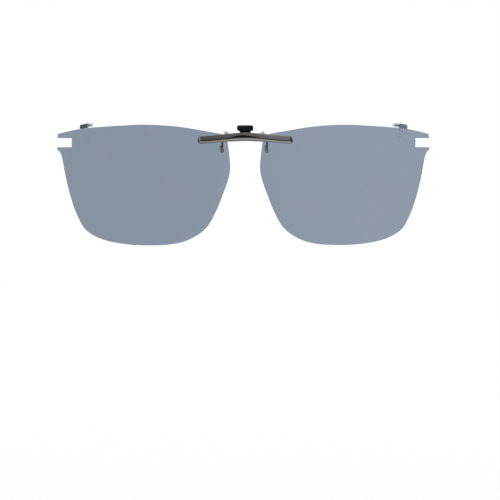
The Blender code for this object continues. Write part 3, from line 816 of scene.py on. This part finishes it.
def make_tab():
    """Level rounded rectangles piled up by the profile's height, half width and half depth, less the ribs."""
    height, width, depth = through(TAB_PROFILE, 97).T
    height = np.clip(height, 0, TAB_PROFILE[-1][0])
    angle = np.linspace(0, 2 * math.pi, 320, endpoint=False)
    ring_x = squared_off(np.cos(angle), 0.5)
    ring_y = squared_off(np.sin(angle), 0.5)
    x = width[:, None] * ring_x
    y = depth[:, None] * ring_y
    fade = hump(x, 0, 2.3, 8) * hump(height[:, None], 1.75, 0.62, 6)
    y = y - np.sign(y) * RIB_DEPTH * fade * (0.5 + 0.5 * np.cos(2 * math.pi * x / RIB_SPACING))
    z = TAB_LOW.z + height[:, None] * (TAB_HIGH.z - TAB_LOW.z) / TAB_PROFILE[-1][0]
    rings = np.stack([x, y + PIN_Y, np.broadcast_to(z, x.shape)], axis=-1)
    ends = [np.broadcast_to(rings[k].mean(0), (1, len(angle), 3)) for k in (0, -1)]
    tab = rings_object("finger_tab", np.concatenate([ends[0], rings, ends[1]]))
    return dress(tab, "lever", "black_plastic", BLACK, "pinch_tab")


make_tab()

# %% [markdown]
# ## Claws and sleeves
#
# The upper claws are wires let into the lever. They run back over the spectacle bridge and turn down behind
# it. One longer wire, bent into two legs, makes the lower claws. Each end wears a clear silicone sleeve.
# A sleeve is a single ring profile carried along the wire's own path: it starts deep in the bore, comes out
# round the mouth, and runs along the outside to a domed tip.

# %% Claws
UPPER_CLAW = [
    (5.45, -2.9, 0.45), (5.45, -1.4, 0.45), (6.35, 0.0, 0.85), (6.85, 1.6, 1.25), (6.85, 4.0, 1.2),
    (6.85, 5.05, 0.5), (6.85, 5.25, -0.8),
]
LOWER_CLAW = [
    (0, -0.68, -0.85), (7.2, -0.6, -0.85), (8.25, -0.56, -1.4), (8.4, -0.56, -4.0), (8.4, 0.1, -5.1),
    (8.4, 2.0, -5.2), (8.4, 4.2, -5.1), (8.4, 5.1, -4.5), (8.4, 5.3, -3.4),
]
CLAW_RADIUS = 0.3
LOWER_RADIUS = 0.4
SLEEVE_RADIUS = 0.75
SLEEVE_START = 0.95
TIP_LENGTH = 0.5
BORE_GAP = 0.03


def lengthened(path, extra):
    """The path with its last direction carried on a little."""
    last = path[-1] - path[-2]
    return np.vstack([path, path[-1] + last / np.linalg.norm(last) * extra])


def sleeved(path, bore, radius=SLEEVE_RADIUS, sides=40):
    """A sleeve's rings: up the bore from its blind end, a half circle round the mouth, along the outside, and
    a dome."""
    path = lengthened(path, TIP_LENGTH)
    length = length_along(path)[-1]
    wall = (radius - bore) / 2
    turn = np.linspace(-math.pi / 2, math.pi / 2, 12)
    near, shrink = round_end(radius, 14)
    flat = np.linspace(wall, length - radius, 70)[1:-1]
    blind = length - TIP_LENGTH
    inner = flat[flat < blind][::-2]
    stations = np.concatenate([[blind, blind], inner, wall * (1 - np.cos(turn)), flat, length - near[::-1]])
    radii = np.concatenate([
        [0, bore], np.full(len(inner), bore), bore + wall * (1 + np.sin(turn)), np.full(len(flat), radius),
        shrink[::-1],
    ])
    return carried(path, stations, radii, sides)


upper = through(UPPER_CLAW, 240)
half_lower = through(LOWER_CLAW, 320)
lower = np.vstack([mirrored(half_lower, -1)[:0:-1], half_lower])
for side, sign in SIDES:
    claw = rings_object(f"upper_claw_wire_{side}", mirrored(wire(upper, CLAW_RADIUS), sign))
    dress(claw, "lever", "steel", NICKEL, f"upper_claw_{side}")
    tube = sleeved(upper[upper[:, 1] > SLEEVE_START], CLAW_RADIUS + BORE_GAP)
    sleeve = rings_object(f"upper_claw_sleeve_{side}", mirrored(tube, sign))
    dress(sleeve, "lever", "silicone", SILICONE, f"upper_sleeve_{side}")
    tube = sleeved(half_lower[half_lower[:, 1] > SLEEVE_START], LOWER_RADIUS + BORE_GAP)
    sleeve = rings_object(f"lower_claw_sleeve_{side}", mirrored(tube, sign))
    dress(sleeve, "front", "silicone", SILICONE, f"lower_sleeve_{side}")
dress(rings_object("lower_claws", wire(lower, LOWER_RADIUS)), "front", "steel", NICKEL, "lower_claw_wire")

# %% [markdown]
# ## The hooks
#
# At each outer corner a small metal block stands on the edge of the lens. A wire comes out of its inner side
# and turns straight back, to rest on the rim of the spectacles in a silicone sleeve that also covers the
# turn. The block rests on a clear foot bonded behind the lens. Both are boxes with round edges, which a
# superellipse gives in one formula, turned to follow the wrap and the slope of the lens's edge. The block's
# top also slopes, from the height of the wire down to the outside, and its outer end leans in.

# %% Hooks
HOOK_WIRE = [
    (59.0, 3.35, 4.3), (58.25, 3.35, 4.3), (57.58, 3.63, 4.35), (57.3, 4.3, 4.4), (57.3, 5.5, 4.45),
    (57.3, 7.6, 4.45), (57.3, 9.0, 4.43), (57.3, 9.9, 4.38),
]
HOOK_RADIUS = 0.35
HOOK_SLEEVE_X = 58.0
HOOK_SLEEVE_RADIUS = 0.72
BLOCK_CENTRE = np.array([59.85, 3.3, 3.12])
BLOCK_SIZE = np.array([3.3, 2.2, 1.65])
BLOCK_TILT = math.radians(7)
BLOCK_TOP_SLOPE = math.tan(math.radians(4))
BLOCK_END_SLOPE = 0.35
FOOT_SIZE = np.array([3.3, 1.3, 4.55])
FOOT_DROP = 0.05
FOOT_REAR = 0.17


def turned(grid, origin):
    """Local points tilted about Y, swung about Z to follow the wrap, and moved to an origin."""
    swing = math.atan(BLOCK_CENTRE[0] / WRAP_RADIUS)
    tilt = np.array([
        [math.cos(BLOCK_TILT), 0, math.sin(BLOCK_TILT)],
        [0, 1, 0],
        [-math.sin(BLOCK_TILT), 0, math.cos(BLOCK_TILT)],
    ])
    yaw = np.array([
        [math.cos(swing), -math.sin(swing), 0],
        [math.sin(swing), math.cos(swing), 0],
        [0, 0, 1],
    ])
    return grid @ (yaw @ tilt).T + origin


hook_path = through(HOOK_WIRE, 320)
foot_origin = BLOCK_CENTRE.copy()
foot_origin[1] = LENS_FRONT + LENS_THICKNESS + wrap(BLOCK_CENTRE[0]) + drop(0) + FOOT_REAR
lump = block((0, 0, BLOCK_SIZE[2] / 2), BLOCK_SIZE / 2, power=9, power_end=9, points=72)
up, out = lump[..., 2] / BLOCK_SIZE[2], lump[..., 0] / BLOCK_SIZE[0] * 2
lump[..., 2] -= BLOCK_TOP_SLOPE * lump[..., 0] * up
lump[..., 0] -= BLOCK_END_SLOPE * up * np.clip(out, 0, 1)
for side, sign in SIDES:
    prong = wire(hook_path, HOOK_RADIUS, reference=(1, 1, 1))
    stand = mirrored(turned(lump, BLOCK_CENTRE), sign)
    hook = rings_object(f"hook_block_{side}", stand, mirrored(prong, sign))
    dress(hook, "front", "gunmetal", BLUED, f"hook_{side}")
    tube = sleeved(hook_path[hook_path[:, 0] < HOOK_SLEEVE_X], HOOK_RADIUS + BORE_GAP, HOOK_SLEEVE_RADIUS)
    sleeve = rings_object(f"hook_tube_{side}", mirrored(tube, sign))
    dress(sleeve, "front", "silicone", SILICONE, f"hook_sleeve_{side}")
    middle = (0, FOOT_SIZE[1] / 2, -FOOT_SIZE[2] / 2 - FOOT_DROP)
    pad = block(middle, FOOT_SIZE / 2, power=12, power_end=12, points=72)
    foot = rings_object(f"clear_foot_{side}", mirrored(turned(pad, foot_origin), sign))
    dress(foot, "front", "clear_plastic", ACRYLIC, f"hook_foot_{side}")

# %% [markdown]
# ## Chassis, pin and springs
#
# Behind the lenses a nickel strip holds everything. It is a rounded slab carried along the bow, and its
# upper edge drops where an upper claw passes over it. Two lugs reach forward and hold the pin. Round the pin,
# on each side, sits a torsion spring: a helix with one leg against the strip and one against the lever.

# %% Chassis
CHASSIS_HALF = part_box("bridge_chassis")[1].x / MM
CHASSIS_HALF_HEIGHT = 1.2
CHASSIS_MIDDLE_Y = -1.6
CHASSIS_HALF_DEPTH = 0.45
NOTCH_LOW, NOTCH_HIGH, NOTCH_FLOOR, NOTCH_GAP = 4.85, 6.05, 0.1, 0.02
LUG_MIDDLE, LUG_HALF_WIDTH, LUG_RADIUS = 2.3, 0.4, 0.6


def make_chassis():
    """A slab whose height follows a half circle at each end, with a notch for each claw, and two lugs."""
    straight = CHASSIS_HALF - CHASSIS_HALF_HEIGHT
    ends = straight + CHASSIS_HALF_HEIGHT * np.sin(np.linspace(0, math.pi / 2, 18))
    steps = both_sides([NOTCH_LOW, NOTCH_HIGH], NOTCH_GAP)
    right = np.unique(np.concatenate([np.linspace(0, straight, 60), ends, steps]))
    x = np.concatenate([-right[:0:-1], right])
    size = np.sqrt(np.maximum(1 - np.clip((np.abs(x) - straight) / CHASSIS_HALF_HEIGHT, 0, 1) ** 2, 0))
    low = bow(x) - CHASSIS_HALF_HEIGHT * size
    notched = (np.abs(x) > NOTCH_LOW) & (np.abs(x) < NOTCH_HIGH)
    high = np.where(notched, NOTCH_FLOOR, bow(x) + CHASSIS_HALF_HEIGHT * size)
    angle = np.linspace(0, 2 * math.pi, 64, endpoint=False)
    ring = squared_off(np.stack([np.cos(angle), np.sin(angle)], axis=-1), 0.28)
    thickness = CHASSIS_HALF_DEPTH * ring[:, 0] * np.minimum(size[:, None] * 3, 1)
    y = CHASSIS_MIDDLE_Y + wrap(x)[:, None] + thickness
    z = (low + high)[:, None] / 2 + (high - low)[:, None] / 2 * ring[:, 1]
    slab = np.stack([np.broadcast_to(x[:, None], y.shape), y, z], axis=-1)
    lug_half = ((CHASSIS_MIDDLE_Y - PIN_Y + LUG_RADIUS) / 2, LUG_RADIUS, LUG_HALF_WIDTH)
    lugs = []
    for sign in (1, -1):
        lug = block((0, 0, 0), lug_half, power=7, power_end=5)[..., [2, 0, 1]]
        lugs.append(lug + np.array([sign * LUG_MIDDLE, PIN_Y - LUG_RADIUS + lug_half[0], PIN_Z]))
    return dress(rings_object("chassis_strip", slab, *lugs), "front", "steel", NICKEL, "bridge_chassis")


make_chassis()

# %% Pin and springs
SPRING_WIRE = 0.125
SPRING_RADIUS = 0.62
SPRING_START = 2.95
SPRING_PITCH = 0.27
SPRING_TURNS = 4.75
SPRING_END = SPRING_START + SPRING_PITCH * SPRING_TURNS
PIN_RADIUS = 0.45


def spring_path():
    """A helix round the pin, with a straight leg at each end: x grows by the pitch each turn while y and z
    go round."""
    turn = np.linspace(0, SPRING_TURNS, 260)
    angle = -math.pi / 2 - 2 * math.pi * turn
    coil = np.stack([
        SPRING_START + SPRING_PITCH * turn,
        PIN_Y + SPRING_RADIUS * np.cos(angle),
        PIN_Z + SPRING_RADIUS * np.sin(angle),
    ], axis=-1)
    first = [(SPRING_START, CHASSIS_MIDDLE_Y - CHASSIS_HALF_DEPTH - SPRING_WIRE - 0.05, coil[0, 2])]
    last = [(SPRING_END, PIN_Y - SPRING_RADIUS, 0.9)]
    return np.vstack([first, coil, last])


for side, sign in SIDES:
    coil = wire(spring_path(), SPRING_WIRE, 12, 0.08, reference=(1, 0.02, 0.03))
    spring = rings_object(f"torsion_spring_{side}", mirrored(coil, sign))
    spring.data.materials.append(NICKEL)
    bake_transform(spring)
    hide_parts(f"lever_spring_{side}")
    print(spring.name, "blends over", round(SPRING_END - SPRING_START, 2), "mm")
pin_path = np.linspace((PIN_LOW.x / MM, PIN_Y, PIN_Z), (PIN_HIGH.x / MM, PIN_Y, PIN_Z), 40)
dress(rings_object("turned_pin", wire(pin_path, PIN_RADIUS, 32)), "front", "steel", NICKEL, "hinge_pin")

# %% [markdown]
# ## Screws, bushes and bumper
#
# Each screw head is a low dome with a slot. A dome could be a turned profile with a slot cut from it, but
# here the disc is made of strips that run along the slot, so the slot is just a few strips set lower. Each
# screw stopped at its own angle. The bushes keep their plain solids, which hide inside, and get the nylon
# finish. The bumper is a soft pad with round edges that rests on the spectacles.

# %% Screws
HEAD_RADIUS = 0.95
HEAD_DEPTH = 0.55
SLOT_HALF = 0.13
SLOT_DEPTH = 0.26
SHANK_RADIUS = 0.58
SHANK_LENGTH = 3.3
SHANK_POINT = 0.3
THREAD_PITCH, THREAD_DEPTH = 0.25, 0.02
SCREW_X = {"inner": 10.4, "outer": 14.6}
SLOT_ANGLES = {("inner", "right"): 20, ("outer", "right"): 118, ("inner", "left"): 75, ("outer", "left"): 152}


def screw_head(angle):
    """Strips across a disc: at u from the middle a strip is as long as the chord there. The top is a dome
    less the slot."""
    u = HEAD_RADIUS * np.sin(np.linspace(-math.pi / 2, math.pi / 2, 41))
    u = np.unique(np.concatenate([u, both_sides([-SLOT_HALF, SLOT_HALF], STEP_GAP)]))[:, None]
    along = np.sin(np.linspace(-math.pi / 2, math.pi / 2, 31))[None]
    v = along * np.sqrt(np.maximum(HEAD_RADIUS**2 - u**2, 0))
    r = np.hypot(u, v) / HEAD_RADIUS
    dome = HEAD_DEPTH * (0.55 + 0.45 * np.sqrt(np.maximum(1 - r**4, 0)))
    top = dome - SLOT_DEPTH * (np.abs(u) < SLOT_HALF)
    u = np.broadcast_to(u, v.shape)
    upper_side = np.stack([u, top, v], axis=-1)
    under_side = np.stack([u, np.zeros_like(v), v], axis=-1)[:, ::-1]
    rings = np.concatenate([upper_side, under_side], axis=1)
    c, s = math.cos(angle), math.sin(angle)
    return rings @ np.array([[c, 0, s], [0, 1, 0], [-s, 0, c]])


def screw_shank():
    """A rod whose radius ripples with the thread and shrinks to a point."""
    path = np.linspace((0, 0.1, 0), (0, -SHANK_LENGTH, 0), 160)
    run = np.linspace(0, length_along(path)[-1], 160)
    ripple = SHANK_RADIUS - THREAD_DEPTH + THREAD_DEPTH * np.cos(2 * math.pi * run / THREAD_PITCH)
    return carried(path, run, ripple * np.minimum((run[-1] - run) / SHANK_POINT, 1), 20, reference=(1, 0, 0))


def screw_place(place, sign):
    """Where the screw's head meets the strip."""
    x = SCREW_X[place]
    return np.array([sign * x, CHASSIS_MIDDLE_Y + CHASSIS_HALF_DEPTH + 0.05 + wrap(x), bow(x)])


for (place, side), degrees in SLOT_ANGLES.items():
    at = screw_place(place, dict(SIDES)[side])
    head = screw_head(math.radians(degrees))
    screw = rings_object(f"slotted_screw_{place}_{side}", head + at, screw_shank() + at)
    dress(screw, "front", "steel", NICKEL, f"lens_screw_{place}_{side}")

# %% Bumper
bumper_low, bumper_high = (np.array(corner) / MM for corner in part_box("bridge_bumper"))
pad = block((bumper_low + bumper_high) / 2, (bumper_high - bumper_low) / 2, power=5, power_end=8, rings=60)
dress(rings_object("soft_bumper", pad), "front", "silicone", SILICONE, "bridge_bumper")

# %% [markdown]
# ## The pieces that keep their solids
#
# The lever and the bushes sit inside the clip and their plain shapes are right, so they only change material.

# %% Carried-over solids
KEPT = {"claw_lever": NICKEL}
KEPT.update({f"lens_bush_{place}_{side}": NYLON for place in SCREW_X for side, _ in SIDES})
for name, finish in KEPT.items():
    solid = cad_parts[name]
    solid.data.materials.clear()
    solid.data.materials.append(finish)
    print(name, "keeps its solid in", finish.name)
